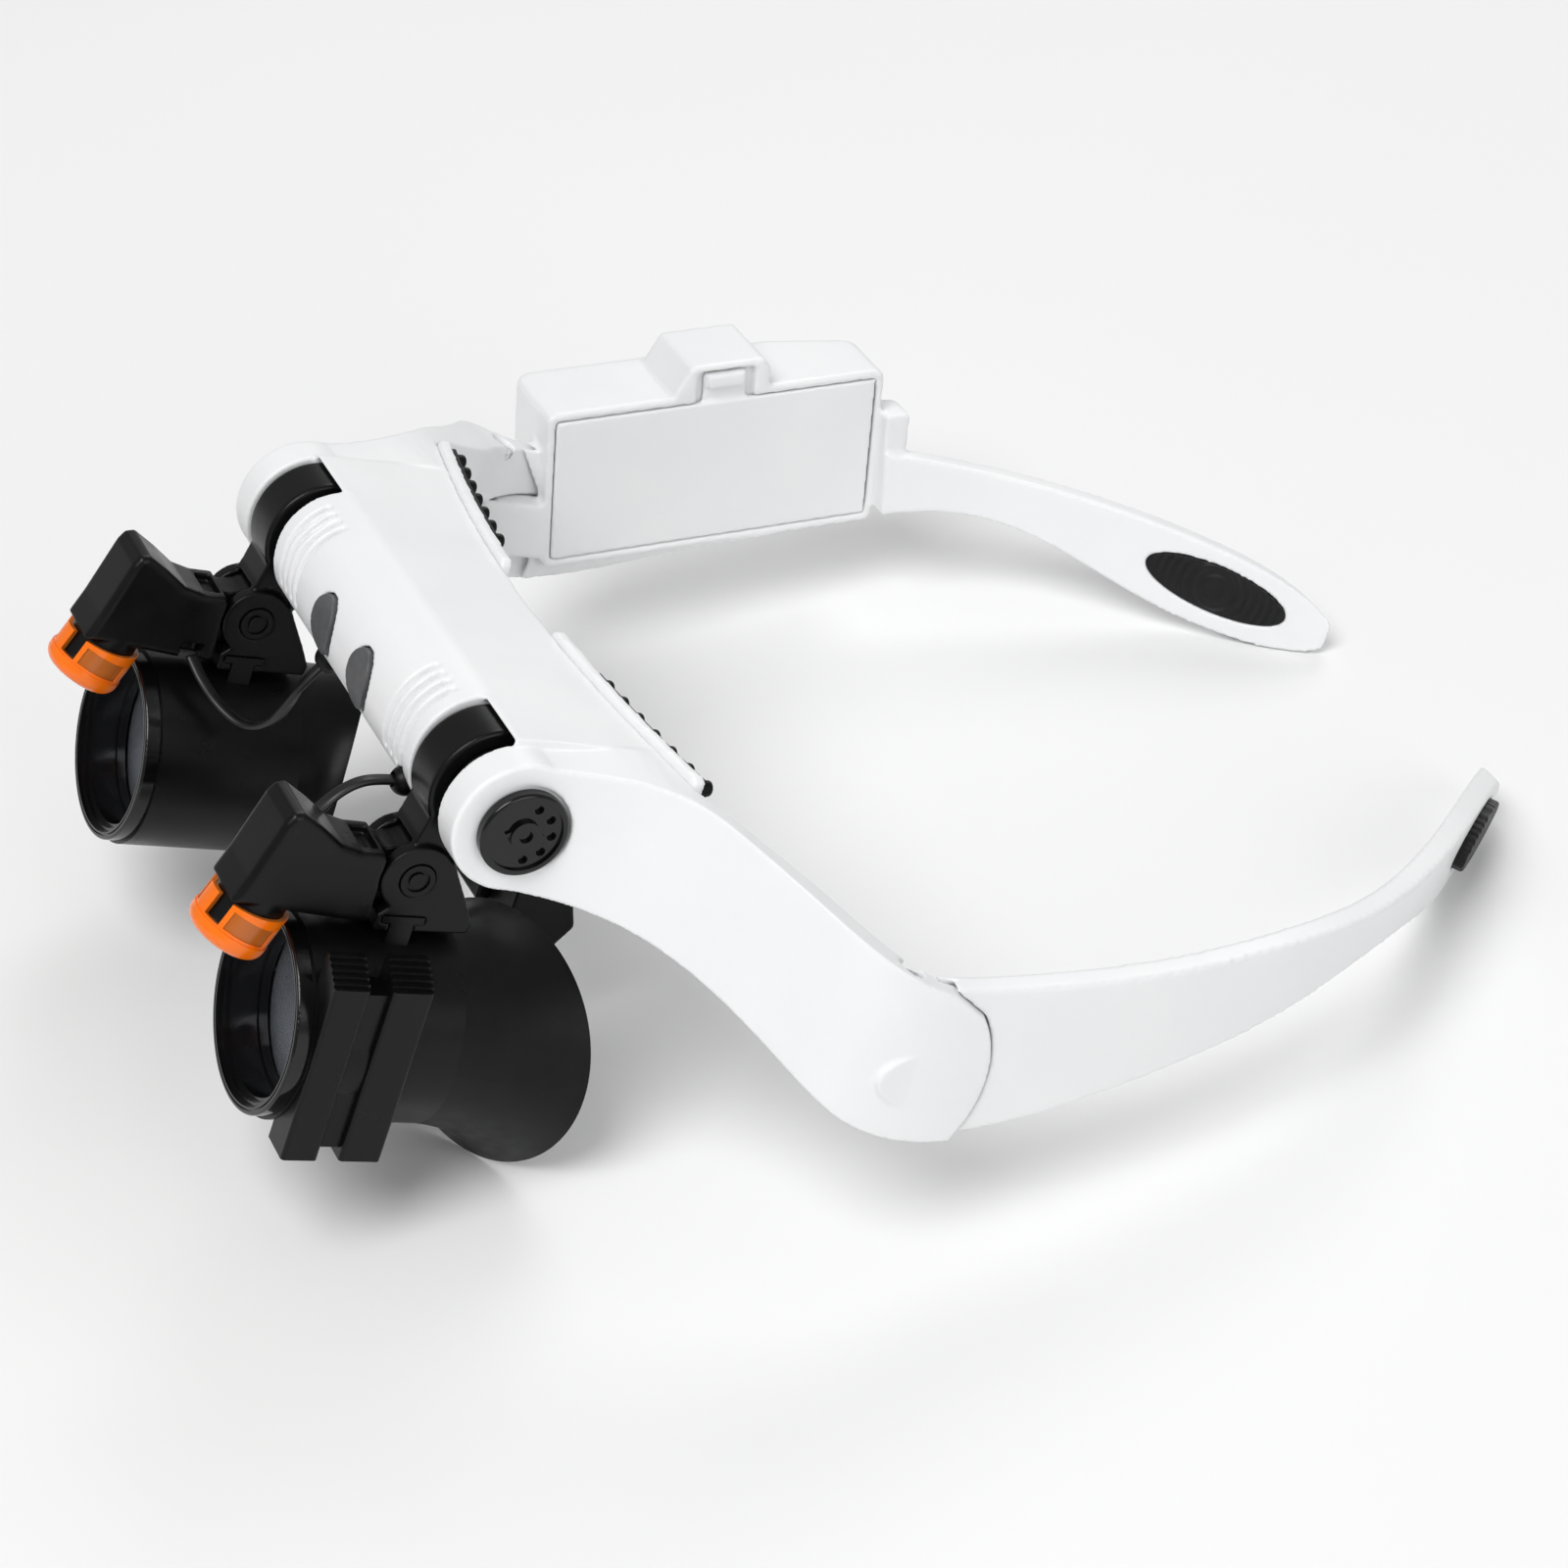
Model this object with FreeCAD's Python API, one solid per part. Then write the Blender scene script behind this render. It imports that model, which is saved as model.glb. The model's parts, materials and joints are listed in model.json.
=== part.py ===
"""Head visor magnifier: a brow frame with two swing-up loupes, two lamps and a battery temple.

The shapes are drawn in the wearer's frame, in millimetres, with the loupe barrels level:
+X to the wearer's left, +Y back along the temples, +Z up, and the origin midway between the
two objective rings. The last step stands everything on the eyecups and the temple tips.
"""
import FreeCAD, Part
import math
import os

Vector = FreeCAD.Vector

# The stand: the object rests on both eyecup rims and both temple tips.
STAND_PITCH = 21.3
STAND_SHIFT = Vector(4.631, -92.095, 33.097)

# Swing assemblies: both arms stand at the right-hand end of their pupil travel.
LEFT_LENS_X = 31.35
PUPIL_TRAVEL = 2.7
RIGHT_LENS_X = -(LEFT_LENS_X + PUPIL_TRAVEL)
OPTIC_Y = 0.7
OPTIC_Z = -0.84

# Brow frame.
PIVOT_Y = 22.0
PIVOT_Z = 35.0
BARREL_RADIUS = 8.8
BARREL_HALF = 27.4
NOTCH_OUTER = 38.0
EAR_OUTER = 43.5
EAR_RADIUS = 9.0
BROW_TOP = 44.5
BROW_BACK = 42.0
BACK_HALF = 47.0
BACK_SAG = 5.0
BACK_RADIUS = (BACK_HALF ** 2 + BACK_SAG ** 2) / (2 * BACK_SAG)
BACK_AXIS_Y = BROW_BACK - BACK_SAG + BACK_RADIUS
BROW_FLOOR = 24.3
WALL = 1.7
COVER_REAR = 34.6
COVER_SCREWS = [(-20.5, 27.0), (20.5, 27.0), (-20.5, 32.4), (20.5, 32.4)]
HUB_RADIUS = 8.8
HUB_HALF = 3.65
SHAFT_RADIUS = 2.0
BUSH_RADIUS = 3.4
RUNNING_GAP = 0.05

# Lamp buttons, an oval each side of the brow's middle.
BUTTON_X = 7.1
BUTTON_Z = 34.5
BUTTON_HALF_HIGH = 4.2
BUTTON_HALF_WIDE = 3.3

# Temple hinges.
HINGE_X = 71.0
HINGE_Y = 65.0
ARM_OUTER_X = 74.5
TEMPLE_THICK = 3.4
SPLIT_GAP = 0.15
OUTER_SPLIT = ((12.6, 11.0), (15.0, 22.5), (11.5, 30.5), (4.6, 34.9))
INNER_SPLIT = ((10.0, 11.0), (10.3, 18.0), (8.2, 27.5), (3.6, 34.0))
LAP_X = HINGE_X + 0.7
TONGUE_LOW = 17.0
TONGUE_HIGH = 26.0
SCREW_RADIUS = 1.2

# Oval rubber pads in the temple tips.
PAD_CENTRE = Vector(37.4, 176.0, 41.0)
PAD_LEAN = math.radians(43.0)
PAD_WAY = Vector(-math.sin(PAD_LEAN), math.cos(PAD_LEAN), 0.0)
PAD_OUT = Vector(math.cos(PAD_LEAN), math.sin(PAD_LEAN), 0.0)
PAD_HALF_LONG = 11.8
PAD_HALF_HIGH = 3.9

# Loupe barrel.
RING_RADIUS = 13.56
BARREL_TUBE_RADIUS = 14.0
FLARE_START = 22.8
RIM_RADIUS = 17.7
RIM_CENTRE = Vector(-1.5, 34.6, -3.0)
RIM_TOE = 24.0
CUP_WALL = 1.4

# Lamp.
LAMP_HALF = 4.5
LAMP_TUBE_RADIUS = 4.5
LAMP_TUBE_TOP = Vector(0.0, -5.2, 16.0)
LAMP_LEAN = math.radians(22.2)
LAMP_DIRECTION = Vector(0.0, -math.sin(LAMP_LEAN), -math.cos(LAMP_LEAN))
CAP_RADIUS = 5.3
CAP_BORE = 4.6
CAP_STRAIGHT = 4.3
BOSS_Y = 14.2
BOSS_Z = 22.8
BOSS_RADIUS = 4.85

# Battery case on the right temple.
CASE_PITCH = 15.5
CASE_CENTRE = Vector(0.0, 100.5, 35.6)
CASE_LENGTH = 56.0
CASE_HEIGHT = 26.4
CASE_INNER_X = -69.0
CASE_OUTER_X = -84.5
CASE_REAR_X = -81.0
ROOM_DEPTH = 11.9
LATCH_MIDDLE = 1.0
HUMP_HIGH = 4.8
LID_LENGTH = 53.0
LID_HEIGHT = 23.4
CELL_SHIFT = 3.0
LID_THICK = 1.2
CELL_RADIUS = 5.2
CELL_LENGTH = 44.5

# Lamp leads, from each lamp to its gland in the brow's chin.
LEAD_RADIUS = 0.95
GLAND_RADIUS = 2.0
LEFT_LEAD = [(26.1, 2.9, 24.0), (24.7, 4.3, 25.0), (24.1, 7.6, 28.3), (23.9, 11.4, 29.6),
             (23.9, 16.4, 29.4)]
RIGHT_LEAD = [(-28.8, 6.5, 16.6), (-26.2, 7.3, 14.9), (-22.8, 9.8, 12.4), (-18.8, 12.4, 11.6),
              (-15.4, 14.4, 14.4), (-13.0, 14.9, 18.8), (-12.0, 15.6, 23.4), (-12.0, 18.9, 27.9)]

X_AXIS = Vector(1, 0, 0)
Y_AXIS = Vector(0, 1, 0)
Z_AXIS = Vector(0, 0, 1)


# ---- small drawing helpers -------------------------------------------------------------

def block(x_from, x_to, y_from, y_to, z_from, z_to):
    """Box between two corners."""
    corner = Vector(x_from, y_from, z_from)
    return Part.makeBox(x_to - x_from, y_to - y_from, z_to - z_from, corner)


def rod(start, axis, radius, length):
    """Round bar from start along axis."""
    return Part.makeCylinder(radius, length, start, axis)


def tube(start, axis, outer, inner, length):
    """Round bar with a bore right through it."""
    return rod(start, axis, outer, length).cut(rod(start, axis, inner, length))


def line_edges(points):
    """Straight edges through the points."""
    return [Part.LineSegment(a, b).toShape() for a, b in zip(points, points[1:])]


def curve_edge(points):
    """One smooth edge through the points."""
    curve = Part.BSplineCurve()
    curve.interpolate(points)
    return curve.toShape()


def arc_edge(first, middle, last):
    """Circular edge through three points."""
    return Part.Arc(first, middle, last).toShape()


def run_x(edges, x_from, x_to):
    """Closed edges in the plane x = 0, run from x_from to x_to."""
    face = Part.Face(Part.Wire(Part.__sortEdges__(edges)))
    face.translate(Vector(x_from, 0, 0))
    return face.extrude(Vector(x_to - x_from, 0, 0))


def run_z(edges, z_from, z_to):
    """Closed edges in the plane z = 0, run from z_from to z_to."""
    face = Part.Face(Part.Wire(Part.__sortEdges__(edges)))
    face.translate(Vector(0, 0, z_from))
    return face.extrude(Vector(0, 0, z_to - z_from))


def side_polygon(points, x_from, x_to):
    """Straight-sided outline of (y, z) points, run along X."""
    corners = [Vector(0, y, z) for y, z in points]
    return run_x(line_edges(corners + corners[:1]), x_from, x_to)


def ellipse_rod(centre, axis, long_way, long_half, short_half, length):
    """Elliptic bar about axis, starting at centre, its long half along long_way."""
    side_way = axis.cross(long_way)
    ellipse = Part.Ellipse(
        centre + long_way * long_half, centre + side_way * short_half, centre)
    face = Part.Face(Part.Wire([ellipse.toShape()]))
    return face.extrude(axis * length)


def soften(shape, radius, wanted):
    """Round the edges that wanted() picks, one size smaller where the full size won't go."""
    edges = [edge for edge in shape.Edges if wanted(edge)]
    for size in (radius, radius * 0.6, radius * 0.3):
        try:
            rounded = shape.makeFillet(size, edges)
        except Exception:
            continue
        if rounded.isValid() and rounded.Volume > 0.0:
            return rounded
    print("left sharp:", len(edges), "edges at", radius)
    return shape


def along_x(edge):
    """True for a straight edge that runs along X."""
    return isinstance(edge.Curve, Part.Line) and abs(edge.tangentAt(edge.FirstParameter).x) > 0.99


def mirrored(shape):
    """The same shape on the other side of the middle plane."""
    return shape.mirror(Vector(0, 0, 0), X_AXIS)


def turned(shape, point, axis, degrees):
    """A copy turned about an axis through point."""
    copy = shape.copy()
    copy.rotate(point, axis, degrees)
    return copy


# ---- brow frame ------------------------------------------------------------------------

def barrel_outline(grow):
    """(y, z) outline of the middle of the brow, moved outward by grow."""
    radius = BARREL_RADIUS + grow
    top = Vector(0, PIVOT_Y, BROW_TOP + grow)
    crown = Vector(0, PIVOT_Y - radius * 0.62, PIVOT_Z + radius * 0.87)
    nose = Vector(0, PIVOT_Y - radius, PIVOT_Z)
    chin = Vector(0, PIVOT_Y - radius * 0.80, PIVOT_Z - radius * 0.60)
    throat = Vector(0, PIVOT_Y - 1.2 - grow * 0.4, BROW_FLOOR - grow)
    back_low = Vector(0, BROW_BACK + grow, BROW_FLOOR - grow)
    back_top = Vector(0, BROW_BACK + grow, BROW_TOP + grow)
    front = [arc_edge(top, crown, nose), arc_edge(nose, Vector(
        0, PIVOT_Y - radius * 0.952, PIVOT_Z - radius * 0.305), chin)]
    return front + line_edges([chin, throat, back_low, back_top, top])


def side_arm():
    """The left side arm: the brow's end swept outward and back to the temple hinge."""
    outer = [Vector(43.5, 17.0, 0), Vector(45.4, 30.0, 0), Vector(49.5, 38.5, 0),
             Vector(56.5, 46.0, 0), Vector(65.0, 53.0, 0), Vector(71.6, 58.6, 0),
             Vector(ARM_OUTER_X, 66.0, 0), Vector(ARM_OUTER_X + 0.1, 84.0, 0)]
    inner = [Vector(70.0, 84.0, 0), Vector(70.0, 66.5, 0), Vector(66.0, 61.6, 0),
             Vector(60.2, 57.0, 0), Vector(53.6, 49.5, 0), Vector(47.0, BROW_BACK, 0)]
    edges = [curve_edge(outer), Part.LineSegment(outer[-1], inner[0]).toShape(),
             curve_edge(inner)]
    edges += line_edges([inner[-1], Vector(38.3, BROW_BACK, 0), Vector(38.3, 17.0, 0), outer[0]])
    plan = run_z(edges, 0.0, 60.0)
    top = [Vector(0, 17.0, BROW_TOP), Vector(0, 34.0, BROW_TOP), Vector(0, 42.0, 44.2),
           Vector(0, 48.0, 42.0), Vector(0, 56.0, 38.6), Vector(0, 65.0, 35.0),
           Vector(0, 84.0, 34.2)]
    bottom = [Vector(0, 84.0, 13.8), Vector(0, 70.0, 11.7), Vector(0, 62.4, 13.2),
              Vector(0, 53.3, 18.3), Vector(0, 45.6, 22.4), Vector(0, 36.0, 24.9),
              Vector(0, 17.0, 26.4)]
    edges = [curve_edge(top), Part.LineSegment(top[-1], bottom[0]).toShape(),
             curve_edge(bottom), Part.LineSegment(bottom[-1], top[0]).toShape()]
    side = run_x(edges, 30.0, 90.0)
    arm = plan.common(side)
    ear_front = block(30, 50, 0, PIVOT_Y, 0, 60).cut(
        rod(Vector(30, PIVOT_Y, PIVOT_Z), X_AXIS, EAR_RADIUS, 20))
    arm = arm.cut(ear_front)
    ear = rod(Vector(38.3, PIVOT_Y, PIVOT_Z), X_AXIS, EAR_RADIUS, EAR_OUTER - 38.3)
    return arm.fuse(ear).removeSplitter()


def back_curve(grow):
    """Everything behind the forehead curve, which stands grow mm further back."""
    curve = rod(Vector(0, BACK_AXIS_Y, 0), Z_AXIS, BACK_RADIUS - grow, 80)
    return curve.common(block(-BACK_HALF, BACK_HALF, 20, 70, 0, 80))


def split_solid(profile, gap):
    """Solid of revolution about the left hinge pin that the hinge's end fits inside."""
    foot, bulge, shoulder, neck = profile
    low = 0.0
    high = 70.0
    points = [Vector(r + gap, 0, z) for r, z in (foot, bulge, shoulder, neck)]
    edges = [arc_edge(points[0], points[1], points[2])]
    edges += line_edges([points[2], points[3], Vector(points[3].x, 0, high), Vector(0, 0, high),
                         Vector(0, 0, low), Vector(points[0].x, 0, low), points[0]])
    face = Part.Face(Part.Wire(Part.__sortEdges__(edges)))
    face.translate(Vector(HINGE_X, HINGE_Y, 0))
    return face.revolve(Vector(HINGE_X, HINGE_Y, 0), Z_AXIS, 360)


def hinge_keep(gap):
    """Everything inside the hinge's split line: a long outer lip and a shorter inner one."""
    outer_side = block(LAP_X - gap, 95, 0, 140, 0, 70)
    inner_side = block(40, LAP_X - gap, 0, 140, 0, 70)
    outer = split_solid(OUTER_SPLIT, gap).common(outer_side)
    inner = split_solid(INNER_SPLIT, gap).common(inner_side)
    return outer.fuse(inner)


def hinge_end(arm):
    """Cut the arm's end at the split line and open the slot for the temple's tongue."""
    behind = block(40, 95, HINGE_Y, 140, 0, 70)
    arm = arm.cut(behind.cut(hinge_keep(-SPLIT_GAP)))
    slot = block(HINGE_X - 8, HINGE_X + 2.2, HINGE_Y - 3.0, HINGE_Y + 20,
                 TONGUE_LOW - 0.2, TONGUE_HIGH + 0.2)
    arm = arm.cut(slot)
    screw_top = 33.9
    hole = rod(Vector(HINGE_X, HINGE_Y, 12.4), Z_AXIS, SCREW_RADIUS, 40)
    head = rod(Vector(HINGE_X, HINGE_Y, screw_top - 1.0), Z_AXIS, 1.8, 10)
    return arm.cut(hole).cut(head)


def temple_badge():
    """Raised oval on the outer face of the hinge end."""
    centre = Vector(ARM_OUTER_X - 0.6, 71.0, 20.6)
    oval = ellipse_rod(centre, X_AXIS, Y_AXIS, 7.2, 4.3, 1.0)
    return soften(oval, 0.35, lambda edge: edge.CenterOfMass.x > ARM_OUTER_X + 0.3)


def button_solid(sign, proud, grow, reach):
    """Oval button in the barrel's front, proud of it and reaching back by the given amounts."""
    centre = Vector(sign * BUTTON_X, 5.0, BUTTON_Z)
    bar = ellipse_rod(centre, Y_AXIS, Z_AXIS, BUTTON_HALF_HIGH + grow,
                      BUTTON_HALF_WIDE + grow, reach)
    return bar.common(run_x(barrel_outline(proud), -20, 20))


def brow_shell():
    """The white upper shell from hinge to hinge, hollow behind the barrel."""
    middle = run_x(barrel_outline(0.0), -BARREL_HALF, BARREL_HALF)
    middle = soften(middle, 1.2, lambda edge: along_x(edge) and edge.CenterOfMass.z < 30
                    and edge.CenterOfMass.y < 30)
    rear = block(BARREL_HALF - 0.1, NOTCH_OUTER + 0.4, 20.5, BROW_BACK, BROW_FLOOR, BROW_TOP)
    notch = rod(Vector(BARREL_HALF, PIVOT_Y, PIVOT_Z), X_AXIS, HUB_RADIUS + 0.4,
                NOTCH_OUTER - BARREL_HALF)
    low_front = block(BARREL_HALF, NOTCH_OUTER, 10, PIVOT_Y + 3.5, 10, PIVOT_Z)
    half = rear.cut(notch).cut(low_front).fuse(hinge_end(side_arm()))
    notch_room = block(BARREL_HALF, NOTCH_OUTER, 0, PIVOT_Y - 1.5, 0, 60)
    half = half.cut(notch_room).fuse(temple_badge())
    body = middle.fuse(half).fuse(mirrored(half)).removeSplitter()
    body = body.cut(back_curve(0.0))
    room = run_x(barrel_outline(-WALL), -BARREL_HALF + WALL, BARREL_HALF - WALL)
    room = room.cut(back_curve(-WALL))
    for x in (-14.5, 14.5):
        room = room.cut(block(x - 0.7, x + 0.7, 0, 30, 20, 60))
    body = body.cut(room)
    mouth = block(-24.0, 24.0, 24.5, COVER_REAR + 0.1, 20.0, BROW_FLOOR + WALL + 0.2)
    body = body.cut(mouth)
    shaft_bore = rod(Vector(-50, PIVOT_Y, PIVOT_Z), X_AXIS, SHAFT_RADIUS, 100)
    body = body.cut(shaft_bore)
    for sign in (-1, 1):
        outward = Vector(sign, 0, 0)
        body = body.cut(rod(Vector(sign * 40.2, PIVOT_Y, PIVOT_Z), outward,
                            3.0 + RUNNING_GAP, 10))
        body = body.cut(rod(Vector(sign * EAR_OUTER, PIVOT_Y, PIVOT_Z), outward, 6.3, 10))
        body = body.cut(button_solid(sign, 3.0, 0.2, 16.0))
        for index in range(4):
            groove_x = sign * (18.2 + 2.0 * index)
            groove = tube(Vector(groove_x - 0.45, PIVOT_Y, PIVOT_Z), X_AXIS,
                          BARREL_RADIUS + 3, BARREL_RADIUS - 0.5, 0.9)
            body = body.cut(groove.common(block(-40, 40, 0, PIVOT_Y - 4.0, 31.0, 60)))
    for route in (LEFT_LEAD, RIGHT_LEAD):
        body = body.cut(Part.makeSphere(GLAND_RADIUS, lead_seat(route)[0]))
    return body


def brow_cover():
    """Flat cover that closes the shell from below."""
    plate = block(-23.9, 23.9, 24.6, COVER_REAR, BROW_FLOOR, BROW_FLOOR + 1.5)
    plate = soften(plate, 1.0, lambda edge: abs(edge.tangentAt(edge.FirstParameter).z) > 0.9)
    for x, y in COVER_SCREWS:
        plate = plate.cut(rod(Vector(x, y, 20), Z_AXIS, 0.8, 10))
        plate = plate.cut(rod(Vector(x, y, BROW_FLOOR), Z_AXIS, 1.6, 0.8))
    return plate


def cover_screws():
    """Four self-tapping screws, sunk in the cover."""
    screws = []
    for x, y in COVER_SCREWS:
        screw = rod(Vector(x, y, BROW_FLOOR), Z_AXIS, 1.6, 0.8)
        screw = screw.fuse(rod(Vector(x, y, BROW_FLOOR + 0.8), Z_AXIS, 0.8, 6.0))
        slot = block(x - 1.1, x + 1.1, y - 0.2, y + 0.2, BROW_FLOOR, BROW_FLOOR + 0.4)
        screw = screw.cut(slot).cut(turned(slot, Vector(x, y, 0), Z_AXIS, 90))
        screws.append(screw)
    return Part.makeCompound(screws)


def switch_board():
    """Circuit board behind the buttons, with two dome switches and a connector."""
    board = block(-13.4, 13.4, 18.5, 19.7, 29.8, 38.4)
    for sign in (-1, 1):
        dome = rod(Vector(sign * BUTTON_X, 18.5, BUTTON_Z), Vector(0, -1, 0), 1.5, 0.25)
        board = board.fuse(dome)
    plug = block(-2.5, 2.5, 19.7, 22.0, 29.8, 32.6)
    return board.fuse(plug)


def knob(sign):
    """Turning tension disc on the end of the pivot shaft, with five dimples round its rear."""
    face_x = EAR_OUTER + 0.3
    disc = rod(Vector(face_x, PIVOT_Y, PIVOT_Z), X_AXIS, 5.9, 1.5)
    disc = soften(disc, 0.5, lambda edge: edge.CenterOfMass.x > face_x + 1.0)
    dish = rod(Vector(face_x + 1.1, PIVOT_Y, PIVOT_Z), X_AXIS, 5.0, 2.0)
    disc = disc.cut(dish)
    boss = rod(Vector(face_x + 1.0, PIVOT_Y, PIVOT_Z), X_AXIS, 2.0, 0.7)
    lozenge = side_polygon([(PIVOT_Y - 2.7, PIVOT_Z), (PIVOT_Y, PIVOT_Z + 1.9),
                            (PIVOT_Y + 2.7, PIVOT_Z), (PIVOT_Y, PIVOT_Z - 1.9)],
                           face_x + 1.0, face_x + 1.45)
    disc = disc.fuse(lozenge).fuse(boss)
    disc = disc.cut(rod(Vector(face_x + 1.2, PIVOT_Y, PIVOT_Z), X_AXIS, 0.9, 2.0))
    for index in range(5):
        angle = math.radians(-76 + 38 * index)
        centre = Vector(face_x + 0.5, PIVOT_Y + 3.7 * math.cos(angle),
                        PIVOT_Z + 3.7 * math.sin(angle))
        disc = disc.cut(rod(centre, X_AXIS, 0.62, 3.0))
    stem = rod(Vector(40.5, PIVOT_Y, PIVOT_Z), X_AXIS, 3.0, face_x - 40.5)
    whole = disc.fuse(stem)
    return whole if sign > 0 else mirrored(whole)


def forehead_plate():
    """White curved plate behind the left half of the brow that carries the rubber pad."""
    band = back_curve(0.0).cut(back_curve(1.5))
    plate = band.common(block(9.0, 46.6, 0, 70, 27.0, 45.4))
    return soften(plate, 1.2, lambda edge: abs(edge.tangentAt(edge.FirstParameter).y) > 0.9)


def forehead_pad():
    """Rubber sheet with rows of round nubs that rest on the forehead."""
    band = back_curve(1.5).cut(back_curve(2.5))
    sheet = band.common(block(18.0, 46.0, 0, 70, 28.5, 44.6))
    sheet = soften(sheet, 1.2, lambda edge: abs(edge.tangentAt(edge.FirstParameter).y) > 0.9)
    nub_radius = BACK_RADIUS - 2.4
    for column in range(7):
        x = 20.0 + 4.05 * column
        face_y = BACK_AXIS_Y - math.sqrt(nub_radius ** 2 - x ** 2)
        for row in range(4):
            nub = rod(Vector(x, face_y, 30.6 + 4.15 * row), Y_AXIS, 1.05, 1.8)
            nub = soften(nub, 0.5, lambda edge: edge.CenterOfMass.y > face_y + 1.5)
            sheet = sheet.fuse(nub)
    return sheet


def nose_bracket():
    """Bracket that hangs from the brow's floor in front of the nose."""
    return side_polygon([(35.0, BROW_FLOOR), (35.0, BROW_FLOOR - 1.7), (36.2, BROW_FLOOR - 2.4),
                         (41.4, 8.0), (41.4, 1.0), (43.6, 1.0), (43.6, 8.6),
                         (38.0, BROW_FLOOR - 2.0), (36.9, BROW_FLOOR)], -5.0, 5.0)


def nose_pad():
    """Soft saddle: two wings that stand either side of the nose."""
    wing = side_polygon([(43.6, 6.5), (52.6, 5.1), (54.0, 1.3), (51.3, -2.7), (43.6, -1.5)],
                        8.0, 11.5)
    wing = soften(wing, 1.2, lambda edge: abs(edge.tangentAt(edge.FirstParameter).x) > 0.9)
    bridge = block(-11.5, 11.5, 43.6, 45.6, -1.5, 6.5)
    return bridge.fuse(wing).fuse(mirrored(wing)).removeSplitter()


# ---- swing arms ------------------------------------------------------------------------

def bush():
    """Keyed sleeve that turns on the pivot shaft and lets the hub slide along it."""
    start = Vector(BARREL_HALF + 0.2, PIVOT_Y, PIVOT_Z)
    length = NOTCH_OUTER - BARREL_HALF - 0.4
    sleeve = rod(start, X_AXIS, BUSH_RADIUS, length)
    key = block(start.x, start.x + length, PIVOT_Y - 0.6, PIVOT_Y + 0.6, PIVOT_Z, PIVOT_Z + 4.4)
    sleeve = sleeve.fuse(key)
    return sleeve.cut(rod(start, X_AXIS, SHAFT_RADIUS + RUNNING_GAP, length))


def optic(shape):
    """Move a shape drawn about the ring's centre to its place ahead of the pivot."""
    moved = shape.copy()
    moved.translate(Vector(0, OPTIC_Y, OPTIC_Z))
    return moved


def swing_arm():
    """Black arm: hub on the bush, neck, and the holder with the lamp clevis and loupe slot."""
    hub = rod(Vector(-HUB_HALF, PIVOT_Y, PIVOT_Z), X_AXIS, HUB_RADIUS, 2 * HUB_HALF)
    hub = soften(hub, 0.6, lambda edge: isinstance(edge.Curve, Part.Circle))
    for side in (-1, 1):
        ring = tube(Vector(side * (HUB_HALF - 0.5), PIVOT_Y, PIVOT_Z), Vector(side, 0, 0),
                    6.6, 5.9, 1.0)
        hub = hub.cut(ring)
    neck = optic(side_polygon([(14.0, 33.0), (13.0, 28.6), (12.3, 26.8), (18.6, 24.0),
                               (22.5, 28.5), (24.0, 33.0)], -HUB_HALF, HUB_HALF))
    cheeks = rod(Vector(-LAMP_HALF, BOSS_Y, BOSS_Z), X_AXIS, BOSS_RADIUS, 2 * LAMP_HALF)
    web = side_polygon([(12.6, 25.0), (14.0, 27.4), (18.6, 25.6), (19.6, 23.8), (21.9, 19.9),
                        (23.5, 16.9), (23.2, 15.4), (10.3, 15.2), (10.3, 17.6), (12.0, 19.0)],
                       -LAMP_HALF, LAMP_HALF)
    holder = cheeks.fuse(web).removeSplitter()
    tongue_room = rod(Vector(-2.6, BOSS_Y, BOSS_Z), X_AXIS, BOSS_RADIUS + 0.1, 5.2)
    tongue_way = side_polygon([(5.0, 18.0), (BOSS_Y, 18.0), (BOSS_Y, 26.4), (5.0, 29.0)],
                              -2.6, 2.6)
    holder = holder.cut(tongue_room).cut(tongue_way)
    neck_clear = optic(rod(Vector(-2.6, BOSS_Y, BOSS_Z), X_AXIS, BOSS_RADIUS + 0.1, 5.2))
    arm = hub.fuse(neck.cut(neck_clear)).fuse(optic(holder)).removeSplitter()
    slot = block(-10, 10, 11.0, 17.0, 16.3, 17.5)
    slot = slot.fuse(block(-10, 10, 12.3, 15.7, 14.0, 16.4))
    arm = arm.cut(optic(slot))
    arm = arm.cut(optic(rod(Vector(-10, BOSS_Y, BOSS_Z), X_AXIS, 1.1, 20)))
    for side in (-1, 1):
        sink = rod(Vector(side * (LAMP_HALF - 0.8), BOSS_Y, BOSS_Z), Vector(side, 0, 0), 2.4, 3)
        arm = arm.cut(optic(sink))
    bore = rod(Vector(-10, PIVOT_Y, PIVOT_Z), X_AXIS, BUSH_RADIUS + RUNNING_GAP, 20)
    key_way = block(-10, 10, PIVOT_Y - 0.65, PIVOT_Y + 0.65, PIVOT_Z, PIVOT_Z + 4.5)
    return arm.cut(bore).cut(key_way)


def lamp_pin():
    """Headed pin through the clevis that the lamp tilts on."""
    pin = rod(Vector(-LAMP_HALF + 0.2, BOSS_Y, BOSS_Z), X_AXIS, 1.1, 2 * LAMP_HALF - 0.4)
    for side in (-1, 1):
        head = rod(Vector(side * (LAMP_HALF - 0.8), BOSS_Y, BOSS_Z), Vector(side, 0, 0), 2.3, 0.9)
        head = head.cut(tube(Vector(side * (LAMP_HALF - 0.2), BOSS_Y, BOSS_Z),
                             Vector(side, 0, 0), 1.6, 1.1, 1.0))
        pin = pin.fuse(head)
    return optic(pin)


def lamp_point(distance):
    """Point on the lamp tube's axis, distance below the tube's top."""
    return LAMP_TUBE_TOP + LAMP_DIRECTION * distance


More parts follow.
